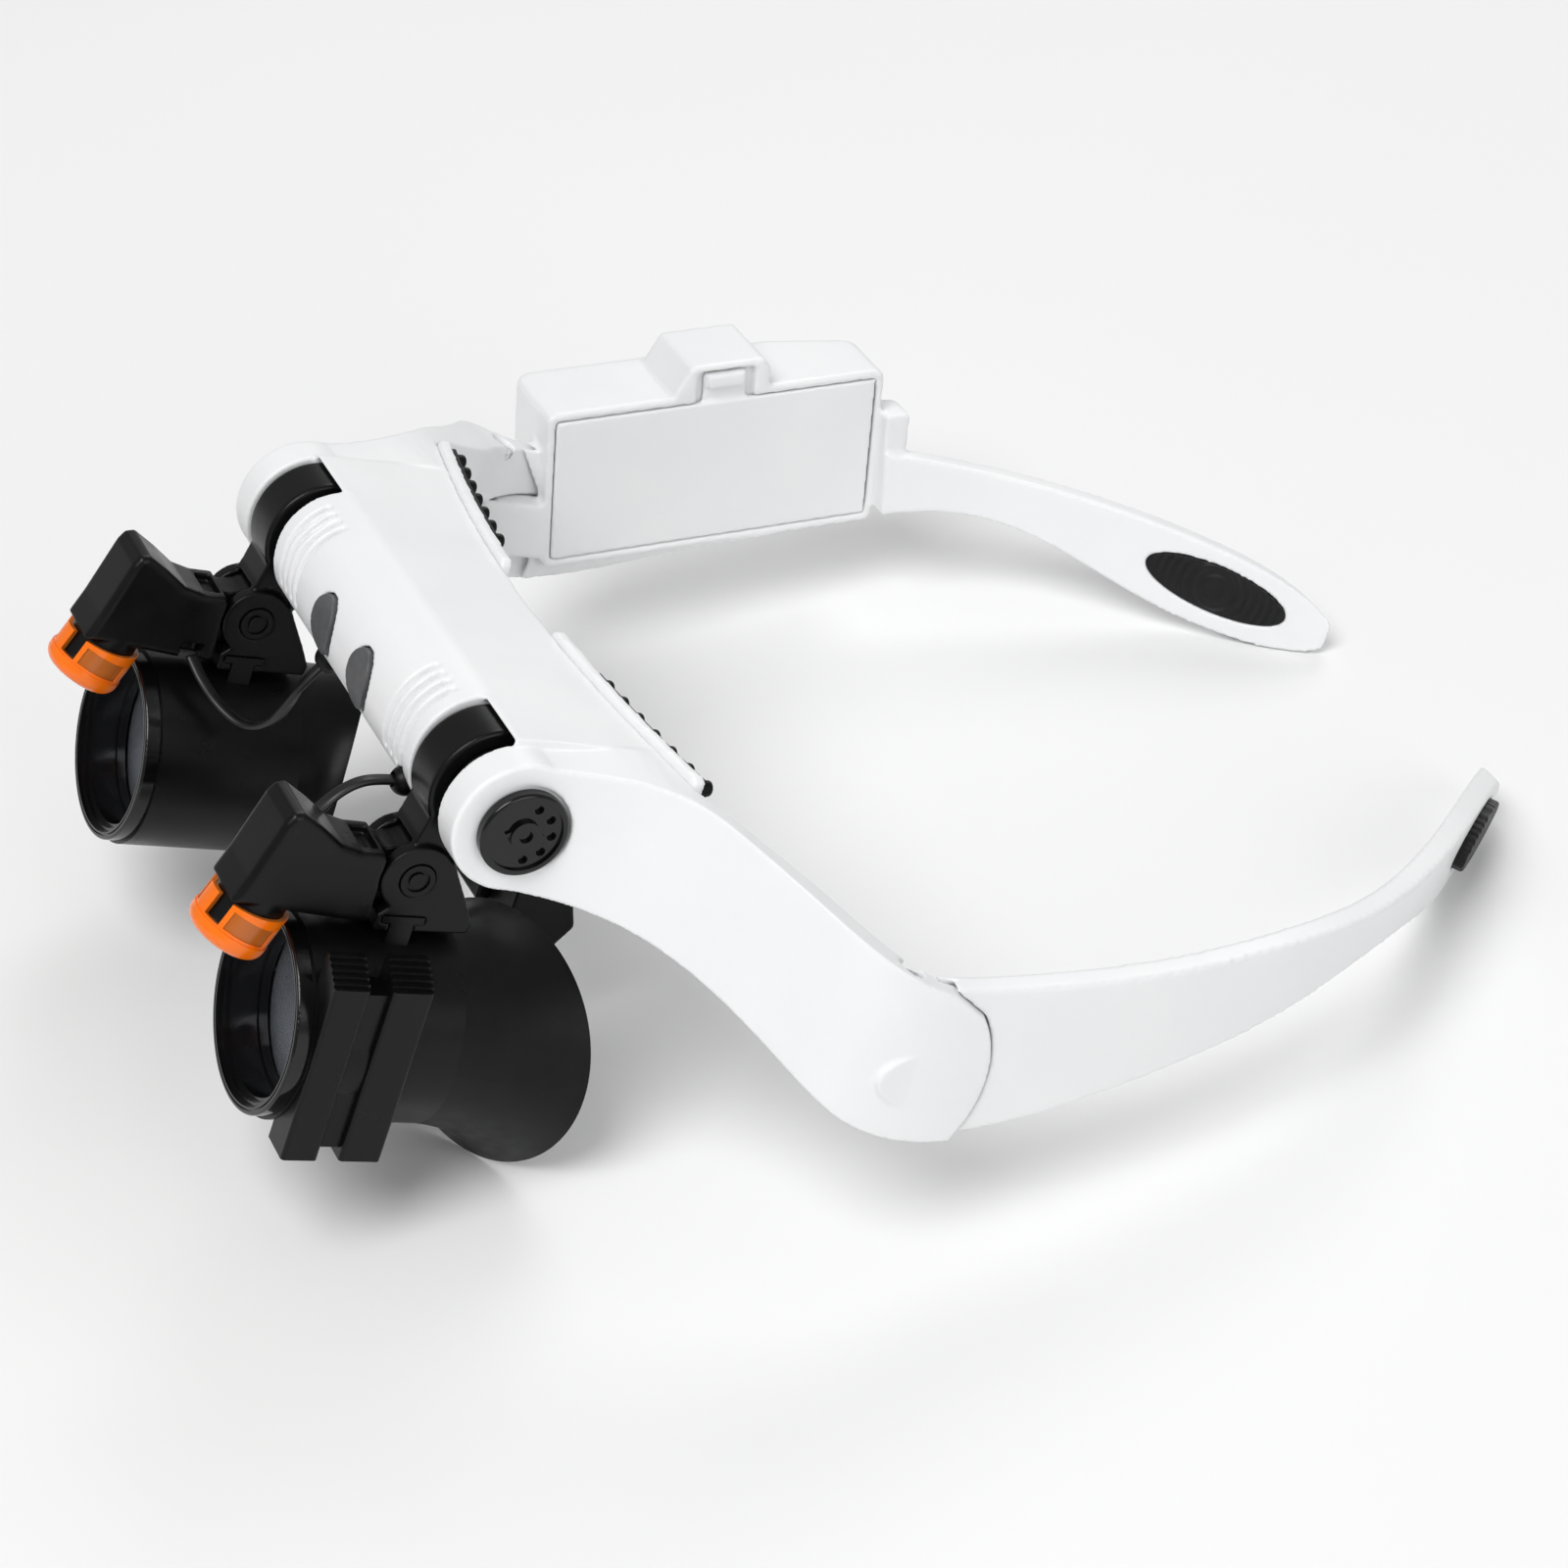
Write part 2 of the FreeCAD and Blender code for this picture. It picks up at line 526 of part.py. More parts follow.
def lamp_housing():
    """Elbowed black lamp body with a tongue for the clevis and a tube for the light."""
    outline = [(-8.0, 21.5), (-5.4, 29.6), (-4.6, 30.9), (-3.3, 31.2), (-0.2, 29.3),
               (3.0, 27.0), (5.9, 26.2), (9.2, 26.1), (9.2, 16.1), (4.8, 16.3),
               (-0.3, 16.9), (-9.4, 17.9)]
    body = side_polygon(outline, -LAMP_HALF, LAMP_HALF)
    body = soften(body, 1.0, lambda edge: not along_x(edge)
                  and abs(abs(edge.CenterOfMass.x) - LAMP_HALF) < 0.01
                  and edge.CenterOfMass.y < 9.0)
    body = body.cut(rod(Vector(-9, BOSS_Y, BOSS_Z), X_AXIS, BOSS_RADIUS + 0.3, 18))
    tongue = rod(Vector(-2.3, BOSS_Y, BOSS_Z), X_AXIS, 4.4, 4.6)
    tongue = tongue.fuse(side_polygon([(7.0, 25.6), (BOSS_Y, 26.8), (BOSS_Y, 18.4), (7.0, 18.4)],
                                      -2.3, 2.3))
    tongue = tongue.cut(rod(Vector(-9, BOSS_Y, BOSS_Z), X_AXIS, 1.1 + RUNNING_GAP, 18))
    stem = rod(lamp_point(-6.0), LAMP_DIRECTION, LAMP_TUBE_RADIUS, 6.0 + CAP_STRAIGHT)
    body = body.fuse(stem).fuse(tongue).removeSplitter()
    body = body.cut(rod(lamp_point(-2.0), LAMP_DIRECTION, 3.6, 12.0))
    body = body.cut(rod(lamp_point(-6.5), LAMP_DIRECTION, 0.8, 6.0))
    pocket = block(-LAMP_HALF - 1, -LAMP_HALF + 3.0, 4.4, 7.6, 14.0, 18.9)
    body = body.cut(pocket)
    window = block(-2.6, 2.6, 6.2, 8.6, 25.0, 27.0)
    return optic(body.cut(window))


def lamp_led():
    """Round light-emitting diode with its flange and two legs."""
    dome = rod(lamp_point(-0.6), LAMP_DIRECTION, 2.5, 3.1)
    dome = dome.fuse(Part.makeSphere(2.5, lamp_point(2.5)))
    flange = rod(lamp_point(-1.6), LAMP_DIRECTION, 3.0, 1.2)
    body = dome.fuse(flange)
    for x in (-0.6, 0.6):
        leg = rod(lamp_point(-2.0) + Vector(x, 0, 0), LAMP_DIRECTION, 0.2, 0.6)
        body = body.fuse(leg)
    return optic(body.removeSplitter())


def lamp_seat():
    """Collar that holds the diode in the middle of the tube."""
    return optic(tube(lamp_point(-0.4), LAMP_DIRECTION, 3.6, 2.5, 1.6))


def cap_sector(from_front, to_front, inner, outer, low, high):
    """Piece of a ring in the cap's own frame, between two angles from its front."""
    ring = Part.makeCylinder(outer, high - low, Vector(0, 0, low), Z_AXIS, to_front - from_front)
    ring = ring.cut(rod(Vector(0, 0, low - 1), Z_AXIS, inner, high - low + 2))
    ring.rotate(Vector(0, 0, 0), Z_AXIS, 90 - to_front)
    return ring


def lamp_cap():
    """Translucent cup over the lamp's mouth: framed side windows, front slots and a thick lip."""
    cup = rod(Vector(0, 0, -1.4), Z_AXIS, CAP_RADIUS, CAP_STRAIGHT + 3.2)
    lip = rod(Vector(0, 0, CAP_STRAIGHT - 0.6), Z_AXIS, CAP_RADIUS + 0.15, 2.4)
    cup = cup.fuse(lip).removeSplitter()
    cup = soften(cup, 1.7, lambda edge: edge.CenterOfMass.z > CAP_STRAIGHT + 1.7)
    cup = cup.cut(rod(Vector(0, 0, -3), Z_AXIS, CAP_BORE, CAP_STRAIGHT + 3.2))
    cup = cup.cut(rod(Vector(0, 0, 0), Z_AXIS, 4.0, CAP_STRAIGHT + 1.0))
    brim = turned(block(-9, 9, -9, 9, -9, -0.4), Vector(0, 0, 0), X_AXIS, 7.5)
    cup = cup.cut(brim)
    for side in (-1, 1):
        middle = 29 * side
        slot = cap_sector(middle - 14, middle + 14, CAP_BORE - 1, 8, -0.1, CAP_STRAIGHT - 0.9)
        window = cap_sector(87 * side - 36, 87 * side + 36, CAP_RADIUS - 0.22, 8,
                            0.7, CAP_STRAIGHT - 1.0)
        cup = cup.cut(slot).cut(window)
    front_way = LAMP_DIRECTION.cross(X_AXIS)
    frame = FreeCAD.Matrix(1, 0, 0, LAMP_TUBE_TOP.x,
                           0, front_way.y, LAMP_DIRECTION.y, LAMP_TUBE_TOP.y,
                           0, front_way.z, LAMP_DIRECTION.z, LAMP_TUBE_TOP.z,
                           0, 0, 0, 1)
    cup.Placement = FreeCAD.Placement(frame)
    return optic(cup)


# ---- loupes ----------------------------------------------------------------------------

def rim_wire(radius, slide):
    """Circle of the eyecup's rim, toed outward, slide mm along its own axis."""
    toe = math.radians(RIM_TOE)
    axis = Vector(-math.sin(toe), math.cos(toe), 0)
    return Part.Wire([Part.Circle(RIM_CENTRE + axis * slide, axis, radius).toShape()])


def level_wire(radius, y, shift_x, shift_z):
    """Circle about the barrel's axis at y."""
    return Part.Wire([Part.Circle(Vector(shift_x, y, shift_z), Y_AXIS, radius).toShape()])


def cup_loft(outer, extra):
    """Flared cup between the barrel and the toed rim."""
    toe = math.radians(RIM_TOE * 0.45)
    axis = Vector(-math.sin(toe), math.cos(toe), 0)
    middle = Part.Circle(Vector(-0.6, 28.4, -1.1), axis, BARREL_TUBE_RADIUS + outer + 0.7)
    wires = [level_wire(BARREL_TUBE_RADIUS + outer, FLARE_START - extra, 0, 0),
             Part.Wire([middle.toShape()]),
             rim_wire(RIM_RADIUS + outer, extra)]
    return Part.makeLoft(wires, True, False)


def eyecup():
    """Soft flared cup that the eye looks into; its rim is one of the object's feet."""
    return optic(cup_loft(0.0, 0.0).cut(cup_loft(-CUP_WALL, 0.05)))


def lens_barrel():
    """Black barrel with the slide rail on its top and the grip bars on its outer side."""
    body = rod(Vector(0, 2.2, 0), Y_AXIS, BARREL_TUBE_RADIUS, FLARE_START - 2.2)
    bore = rod(Vector(0, 2.2, 0), Y_AXIS, 12.4, FLARE_START)
    stop = tube(Vector(0, 9.4, 0), Y_AXIS, 12.4, 10.4, 1.4)
    rear_stop = tube(Vector(0, 17.0, 0), Y_AXIS, 12.4, 8.6, 1.4)
    neck = block(-LAMP_HALF, LAMP_HALF, 12.4, 15.6, 12.9, 16.45)
    head = block(-LAMP_HALF, LAMP_HALF, 11.1, 16.9, 16.4, 17.4)
    rail = neck.fuse(head).removeSplitter()
    body = body.fuse(rail).cut(bore).fuse(stop).fuse(rear_stop)
    return optic(body.removeSplitter())


def grip_bars():
    """Two upright finger bars with stepped tops that push the loupe off its rail."""
    bars = []
    for y_from, y_to in ((2.4, 7.3), (10.3, 16.0)):
        bar = block(5.0, 14.6, y_from, y_to, -13.0, 12.6)
        bar = soften(bar, 0.5, lambda edge: abs(edge.tangentAt(edge.FirstParameter).z) > 0.9
                     and edge.CenterOfMass.x > 14.0)
        for step in range(5):
            high = 12.6 + 0.5 * (step + 1)
            bar = bar.fuse(block(5.0, 14.6 - 0.8 * (step + 1), y_from, y_to, 12.6, high))
        bars.append(bar)
    web = block(5.0, 13.6, 7.2, 10.4, -11.5, 11.5)
    whole = bars[0].fuse(bars[1]).fuse(web)
    core = rod(Vector(0, 0, 0), Y_AXIS, BARREL_TUBE_RADIUS, 30)
    whole = whole.cut(core)
    inner_side = block(0, 9.5, 0, 30, -20, 20)
    return optic(whole.cut(inner_side).removeSplitter())


def bezel_ring():
    """Front ring whose bore steps down towards the lens."""
    ring = rod(Vector(0, 0, 0), Y_AXIS, RING_RADIUS, 2.2)
    ring = soften(ring, 0.35, lambda edge: edge.CenterOfMass.y < 0.1
                  and isinstance(edge.Curve, Part.Circle))
    for start, radius, depth in ((0.0, 12.5, 0.75), (0.75, 11.9, 0.75), (1.5, 11.3, 1.0)):
        ring = ring.cut(rod(Vector(0, start, 0), Y_AXIS, radius, depth))
    skirt = tube(Vector(0, 2.2, 0), Y_AXIS, 12.4, 11.3, 3.2)
    groove = tube(Vector(0, -0.5, 0), Y_AXIS, 13.0, 12.75, 0.8)
    return optic(ring.fuse(skirt).removeSplitter().cut(groove))


def lens(y, radius, edge_thick, front_bulge, back_bulge):
    """Convex lens with a flat edge band."""
    def cap_solid(bulge, at_y, way):
        if bulge <= 0:
            return None
        sphere_radius = (radius * radius + bulge * bulge) / (2 * bulge)
        centre = Vector(0, at_y - way * (sphere_radius - bulge), 0)
        ball = Part.makeSphere(sphere_radius, centre)
        band = rod(Vector(0, at_y, 0), Vector(0, way, 0), radius, bulge + 0.01)
        return ball.common(band)

    solid = rod(Vector(0, y, 0), Y_AXIS, radius, edge_thick)
    front = cap_solid(front_bulge, y, -1)
    back = cap_solid(back_bulge, y + edge_thick, 1)
    for cap in (front, back):
        if cap:
            solid = solid.fuse(cap)
    return optic(solid.removeSplitter())


def objective_lens():
    """Large front lens against the barrel's first stop."""
    return lens(7.4, 12.4, 2.0, 1.6, 0.0)


def eye_lens():
    """Smaller rear lens behind the second stop."""
    return lens(18.4, 12.4, 1.6, 0.0, 1.2)


def retaining_ring():
    """Ring that keeps the front lens in."""
    return optic(tube(Vector(0, 5.4, 0), Y_AXIS, 12.4, 10.9, 1.2))


# ---- temples ---------------------------------------------------------------------------

def temple_plan():
    """Plan of the left temple, a band of even thickness that curls in behind the head."""
    outer = [(ARM_OUTER_X, 60.0), (ARM_OUTER_X, 76.0), (74.6, 90.0), (73.9, 103.0), (72.3, 115.0),
             (70.0, 126.5), (66.0, 137.5), (59.8, 148.4), (50.6, 160.4), (39.4, 173.0),
             (24.4, 189.6)]
    outer_points = []
    inner_points = []
    for index, (x, y) in enumerate(outer):
        before = outer[max(index - 1, 0)]
        after = outer[min(index + 1, len(outer) - 1)]
        along = Vector(after[0] - before[0], after[1] - before[1], 0).normalize()
        inward = Vector(-along.y, along.x, 0)
        here = Vector(x, y, 0)
        outer_points.append(here)
        inner_points.append(here + inward * TEMPLE_THICK)
    inner_points.reverse()
    edges = [curve_edge(outer_points),
             Part.LineSegment(outer_points[-1], inner_points[0]).toShape(),
             curve_edge(inner_points),
             Part.LineSegment(inner_points[-1], outer_points[0]).toShape()]
    return run_z(edges, -5.0, 75.0)


def temple_side():
    """Side outline of a temple: deep at the hinge, a narrow waist and a rounded paddle."""
    top = [(60.0, 35.4), (69.3, 34.2), (82.5, 35.2), (96.5, 37.2), (110.9, 39.6), (126.1, 42.6),
           (138.0, 44.2), (150.0, 45.8), (162.0, 47.1), (173.0, 47.4), (182.5, 46.0),
           (186.6, 43.8), (188.5, 40.9), (186.8, 38.0)]
    bottom = [(182.4, 35.7), (176.0, 34.5), (168.0, 34.5), (160.0, 35.9), (149.0, 37.6),
              (139.6, 36.4), (126.2, 30.8), (114.2, 25.4), (101.3, 20.4), (89.6, 16.0),
              (77.9, 12.8), (68.0, 11.6), (60.0, 11.6)]
    curves = [curve_edge([Vector(0, y, z) for y, z in top + bottom])]
    last = Vector(0, *bottom[-1])
    first = Vector(0, *top[0])
    curves.append(Part.LineSegment(last, first).toShape())
    return run_x(curves, 20.0, 90.0)


def pad_bar(grow, length):
    """Oval bar through the temple's paddle."""
    start = PAD_CENTRE - PAD_OUT * (length / 2 + TEMPLE_THICK / 2 - 0.2)
    return ellipse_rod(start, PAD_OUT, PAD_WAY, PAD_HALF_LONG + grow, PAD_HALF_HIGH + grow,
                       length)


def tip_pad():
    """Ribbed rubber oval that shows on both faces of the paddle."""
    pad = pad_bar(0.0, TEMPLE_THICK + 1.4)
    return soften(pad, 0.4, lambda edge: True)


def temple_arm():
    """The left temple, with its hinge tongue in front and its paddle behind."""
    band = temple_plan().common(temple_side())
    band = band.cut(hinge_keep(SPLIT_GAP))
    band = band.cut(block(40, 95, 0, HINGE_Y + 3.0, 0, 70))
    tongue = block(HINGE_X - 2.0, HINGE_X + 1.9, HINGE_Y, HINGE_Y + 12.5, TONGUE_LOW, TONGUE_HIGH)
    tongue = tongue.fuse(rod(Vector(HINGE_X, HINGE_Y, TONGUE_LOW), Z_AXIS, 2.0,
                             TONGUE_HIGH - TONGUE_LOW))
    temple = band.fuse(tongue).removeSplitter()
    return temple.cut(rod(Vector(HINGE_X, HINGE_Y, 0), Z_AXIS, SCREW_RADIUS + RUNNING_GAP, 60))


def left_temple():
    """Plain temple with the seat for its tip pad."""
    return temple_arm().cut(pad_bar(0.0, 20.0))


def hinge_screw():
    """Screw down the hinge's axis."""
    shank = rod(Vector(HINGE_X, HINGE_Y, 12.6), Z_AXIS, SCREW_RADIUS, 20.5)
    head = rod(Vector(HINGE_X, HINGE_Y, 32.9), Z_AXIS, 1.7, 0.9)
    slot = block(HINGE_X - 2, HINGE_X + 2, HINGE_Y - 0.25, HINGE_Y + 0.25, 33.4, 34)
    return shank.fuse(head).cut(slot)


# ---- battery case ----------------------------------------------------------------------

def in_case(shape):
    """Turn a shape drawn level about the case's middle to the case's own pitch and place."""
    placed = shape.copy()
    placed.rotate(Vector(0, 0, 0), X_AXIS, CASE_PITCH)
    placed.translate(CASE_CENTRE)
    return placed


def case_block():
    """Outer block of the battery case, slimmer towards the back of the head."""
    half_long = CASE_LENGTH / 2
    half_high = CASE_HEIGHT / 2
    corners = [Vector(CASE_INNER_X, -half_long, 0), Vector(CASE_OUTER_X, -half_long, 0),
               Vector(CASE_OUTER_X, half_long - 14, 0), Vector(CASE_REAR_X, half_long, 0),
               Vector(CASE_INNER_X, half_long, 0)]
    body = run_z(line_edges(corners + corners[:1]), -half_high, half_high)
    upright = [edge for edge in body.Edges
               if abs(edge.tangentAt(edge.FirstParameter).z) > 0.9
               and edge.CenterOfMass.x < CASE_REAR_X + 1]
    body = body.makeFillet(2.6, upright)
    return soften(body, 1.4, lambda edge: edge.CenterOfMass.x < CASE_OUTER_X + 4
                  and edge.Length > 20)


def battery_room():
    """Hollow of the case with the lid's rebate."""
    half_long = CELL_LENGTH / 2 + 1.6
    room = block(CASE_INNER_X - ROOM_DEPTH, CASE_INNER_X + 1, CELL_SHIFT - half_long,
                 CELL_SHIFT + half_long, -10.6, 10.6)
    rebate = block(CASE_INNER_X - LID_THICK - 0.1, CASE_INNER_X + 1, -LID_LENGTH / 2 - 0.2,
                   LID_LENGTH / 2 + 0.2, -LID_HEIGHT / 2 - 0.2, LID_HEIGHT / 2 + 0.2)
    notch = block(CASE_INNER_X - LID_THICK - 0.1, CASE_INNER_X + 1, LATCH_MIDDLE - 4.8,
                  LATCH_MIDDLE + 4.8, 0, CASE_HEIGHT / 2 + HUMP_HIGH - 1.0)
    return room.fuse(rebate).fuse(notch)


def latch_hump():
    """Hump on the case's top that the lid's latch hooks under."""
    top = CASE_HEIGHT / 2
    outline = [(-8.6, top - 0.5), (-8.2, top + 1.0), (-5.8, top + HUMP_HIGH),
               (6.2, top + HUMP_HIGH), (7.4, top + HUMP_HIGH - 1.6), (7.4, top - 0.5)]
    corners = [Vector(0, LATCH_MIDDLE + y, z) for y, z in outline]
    hump = run_x(line_edges(corners + corners[:1]), CASE_OUTER_X + 2.5, CASE_INNER_X)
    return soften(hump, 0.9, lambda edge: edge.CenterOfMass.z > top + 0.8
                  and edge.CenterOfMass.x < CASE_INNER_X - 1)


def right_temple():
    """Temple with the battery case moulded into it."""
    arm = mirrored(temple_arm().cut(pad_bar(0.0, 20.0)))
    case = in_case(case_block().fuse(latch_hump()))
    clear = mirrored(hinge_keep(SPLIT_GAP * 2))
    front_trim = mirrored(block(40, 95, 0, HINGE_Y + 3.0, 0, 34.9))
    case = case.cut(clear).cut(front_trim)
    half_long = CASE_LENGTH / 2
    over_lid = block(CASE_INNER_X, CASE_INNER_X + 12, -half_long - 4, half_long, -22, 22)
    root = block(CASE_INNER_X - 4, CASE_INNER_X + 2.2, half_long - 0.5, half_long + 4.0, -6.0, 6.0)
    root = soften(root, 1.5, lambda edge: edge.CenterOfMass.y > half_long + 3.9
                  and edge.CenterOfMass.x < CASE_INNER_X - 3.9)
    arm = arm.cut(in_case(over_lid))
    whole = arm.fuse(case).fuse(in_case(root).cut(in_case(over_lid))).removeSplitter()
    sweep = mirrored(rod(Vector(HINGE_X, HINGE_Y, 0), Z_AXIS, 4.7, 70))
    head_room = sweep.common(mirrored(block(40, 95, 0, 140, 34.9, 70)))
    return whole.cut(in_case(battery_room())).cut(head_room)


def battery_lid():
    """Flat inner lid with the latch tab at its top."""
    lid = block(CASE_INNER_X - LID_THICK, CASE_INNER_X, -LID_LENGTH / 2, LID_LENGTH / 2,
                -LID_HEIGHT / 2, LID_HEIGHT / 2)
    tab = block(CASE_INNER_X - LID_THICK, CASE_INNER_X - 0.6, LATCH_MIDDLE - 3.6,
                LATCH_MIDDLE + 3.6, LID_HEIGHT / 2 - 1, CASE_HEIGHT / 2 + HUMP_HIGH - 1.4)
    lip = block(CASE_INNER_X - 0.7, CASE_INNER_X + 0.4, LATCH_MIDDLE - 3.0,
                LATCH_MIDDLE + 3.0, CASE_HEIGHT / 2 + 1.0, CASE_HEIGHT / 2 + HUMP_HIGH - 1.6)
    return in_case(lid.fuse(tab).fuse(lip).removeSplitter())


def battery_cells():
    """Two AAA cells side by side."""
    cells = []
    middle_x = CASE_INNER_X - LID_THICK - 0.15 - CELL_RADIUS
    for side in (-1, 1):
        start = Vector(middle_x, CELL_SHIFT - CELL_LENGTH / 2, side * 5.3)
        cell = rod(start, Y_AXIS, CELL_RADIUS, CELL_LENGTH - 0.8)
        nub = rod(start + Vector(0, CELL_LENGTH - 0.8, 0), Y_AXIS, 1.9, 0.8)
        cell = cell.fuse(nub)
        if side < 0:
            cell.rotate(Vector(middle_x, CELL_SHIFT, side * 5.3), Z_AXIS, 180)
        cells.append(cell)
    return in_case(Part.makeCompound(cells))


def battery_contacts():
    """Sprung plates at both ends of the cells."""
    middle_x = CASE_INNER_X - LID_THICK - 0.15 - CELL_RADIUS
    plates = []
    for side in (-1, 1):
        end = CELL_SHIFT + side * (CELL_LENGTH / 2 + 1.2)
        plates.append(block(middle_x - 4, middle_x + 4, end - 0.2, end + 0.2, -9.6, 9.6))
    return in_case(Part.makeCompound(plates))


# ---- leads -----------------------------------------------------------------------------

def lead(route):
    """Round lead of straight runs joined by tangent arcs as large as the runs allow."""
    points = [Vector(*place) for place in route]
    edges = []
    radii = []
    here = points[0]
    for before, corner, after in zip(points, points[1:], points[2:]):
        arrive = (corner - before).normalize()
        leave = (after - corner).normalize()
        shorter = min((corner - before).Length, (after - corner).Length)
        half_turn = arrive.getAngle(leave) / 2
        reach = 0.45 * shorter
        radius = reach / math.tan(half_turn)
        radii.append(round(radius, 2))
        start = corner - arrive * reach
        end = corner + leave * reach
        toward = (leave - arrive).normalize()
        middle = corner + toward * (radius / math.cos(half_turn) - radius)
        edges.append(Part.LineSegment(here, start).toShape())
        edges.append(arc_edge(start, middle, end))
        here = end
    edges.append(Part.LineSegment(here, points[-1]).toShape())
    path = Part.Wire(edges)
    way = (points[1] - points[0]).normalize()
    section = Part.Wire([Part.Circle(points[0], way, LEAD_RADIUS).toShape()])
    solid = path.makePipeShell([section], True, False)
    expected = math.pi * LEAD_RADIUS ** 2 * path.Length
    print("lead radii", radii, "length", round(path.Length, 1),
          "volume ratio", round(solid.Volume / expected, 3))
    return solid


def lead_seat(route):
    """Ball about the place where a lead goes through the barrel's chin, and the lead's way in."""
    last = Vector(*route[-1])
    way = (last - Vector(*route[-2])).normalize()
    centre = last - way * 1.2
    return centre, way


def lead_gland(route):
    """Round grommet where the lead enters the brow."""
    centre, way = lead_seat(route)
    ball = Part.makeSphere(GLAND_RADIUS, centre)
    return ball.cut(rod(centre - way * 4, way, LEAD_RADIUS + RUNNING_GAP, 8))


# ---- assembly --------------------------------------------------------------------------

def stand(shape):
    """Pitch the wearer's frame so that the object stands, and centre it on the floor."""
    placed = shape.copy()
    placed.rotate(Vector(0, 0, 0), X_AXIS, -STAND_PITCH)
    placed.translate(STAND_SHIFT)
    return placed


def on_left(shape):
    """Place a swing-assembly shape on the left arm."""
    placed = shape.copy()
    placed.translate(Vector(LEFT_LENS_X, 0, 0))
    return placed


def on_right(shape):
    """Place a swing-assembly shape, mirrored, on the right arm."""
    placed = mirrored(shape)
    placed.translate(Vector(RIGHT_LENS_X, 0, 0))
    return placed


def both_sides(nodes, name, shape):
    """Add a left-hand shape and its mirror image."""
    nodes["left_" + name] = shape
    nodes["right_" + name] = mirrored(shape)


def all_nodes():
    """Every sub-part by name, in the wearer's frame."""
    nodes = {
        "brow_shell": brow_shell(),
        "brow_cover": brow_cover(),
        "cover_screws": cover_screws(),
        "switch_board": switch_board(),
        "pivot_shaft": rod(Vector(-40.2, PIVOT_Y, PIVOT_Z), X_AXIS, SHAFT_RADIUS, 80.4),
        "nose_bracket": nose_bracket(),
        "nose_pad": nose_pad(),
        "left_lead": lead(LEFT_LEAD),
        "right_lead": lead(RIGHT_LEAD),
        "left_lead_gland": lead_gland(LEFT_LEAD),
        "right_lead_gland": lead_gland(RIGHT_LEAD),
        "left_knob": knob(1),
        "right_knob": knob(-1),
        "left_button": button_solid(1, 0.45, 0.0, 12.3),
        "right_button": button_solid(-1, 0.45, 0.0, 12.3),
        "left_temple": left_temple(),
        "right_temple": right_temple(),
        "battery_lid": battery_lid(),
        "battery_cells": battery_cells(),
        "battery_contacts": battery_contacts(),
    }
    both_sides(nodes, "forehead_plate", forehead_plate())
    both_sides(nodes, "forehead_pad", forehead_pad())
    both_sides(nodes, "hinge_screw", hinge_screw())
    both_sides(nodes, "tip_pad", tip_pad())
    both_sides(nodes, "bush", bush())
    swing_parts = {
        "swing_arm": swing_arm(),
        "lamp_pin": lamp_pin(),
        "lamp_housing": lamp_housing(),
        "lamp_led": lamp_led(),
        "lamp_seat": lamp_seat(),
        "lamp_cap": lamp_cap(),
        "lens_barrel": lens_barrel(),
        "grip_bars": grip_bars(),
        "bezel_ring": bezel_ring(),
        "retaining_ring": retaining_ring(),
        "objective_lens": objective_lens(),
        "eye_lens": eye_lens(),
        "eyecup": eyecup(),
    }
    for name, shape in swing_parts.items():
        nodes["left_" + name] = on_left(shape)
        nodes["right_" + name] = on_right(shape)
    return nodes


def main():
    """Write one STEP file per sub-part."""
    os.makedirs("parts", exist_ok=True)
    bounds = FreeCAD.BoundBox()
    for name, shape in all_nodes().items():
        placed = stand(shape)
        if not placed.isValid() or not placed.Solids:
            print("BAD SHAPE", name)
        placed.exportStep("parts/" + name + ".step")
        bounds.add(placed.BoundBox)
    print("bounds", bounds)


main()
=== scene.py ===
"""Head visor magnifier: finishes, leads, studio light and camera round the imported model."""
import json
import math

import bpy
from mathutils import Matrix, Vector


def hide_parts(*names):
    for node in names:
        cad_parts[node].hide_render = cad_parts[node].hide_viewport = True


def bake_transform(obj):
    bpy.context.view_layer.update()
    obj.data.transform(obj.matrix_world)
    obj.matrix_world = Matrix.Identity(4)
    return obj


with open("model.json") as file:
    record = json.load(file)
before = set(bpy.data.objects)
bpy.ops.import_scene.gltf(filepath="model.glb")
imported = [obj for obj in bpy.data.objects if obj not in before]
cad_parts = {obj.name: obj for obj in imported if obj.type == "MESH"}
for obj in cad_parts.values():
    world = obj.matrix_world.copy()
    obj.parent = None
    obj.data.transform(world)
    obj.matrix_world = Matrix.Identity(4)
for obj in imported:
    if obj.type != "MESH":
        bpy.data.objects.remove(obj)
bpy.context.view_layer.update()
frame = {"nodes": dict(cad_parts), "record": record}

MM = 0.001

# ---- camera ----------------------------------------------------------------------------
CAMERA_PLACE = Vector((422.0, -184.7, 341.3)) * MM
CAMERA_AZIMUTH = math.radians(66.68)
CAMERA_ELEVATION = math.radians(35.24)
CAMERA_ROLL = math.radians(-1.26)
CAMERA_LENS = 90.6


def make_camera():
    """Long-lens view from the wearer's left, in front and above."""
    data = bpy.data.cameras.new("camera")
    data.lens = CAMERA_LENS
    data.sensor_width = 36.0
    data.clip_start = 0.01
    camera = bpy.data.objects.new("camera", data)
    bpy.context.scene.collection.objects.link(camera)
    camera.location = CAMERA_PLACE
    camera.rotation_mode = "XYZ"
    level = Vector((0.0, 0.0, 0.0))
    level.x = math.pi / 2 - CAMERA_ELEVATION
    level.z = CAMERA_AZIMUTH
    camera.rotation_euler = level
    camera.rotation_euler.rotate_axis("Z", CAMERA_ROLL)
    bpy.context.scene.camera = camera


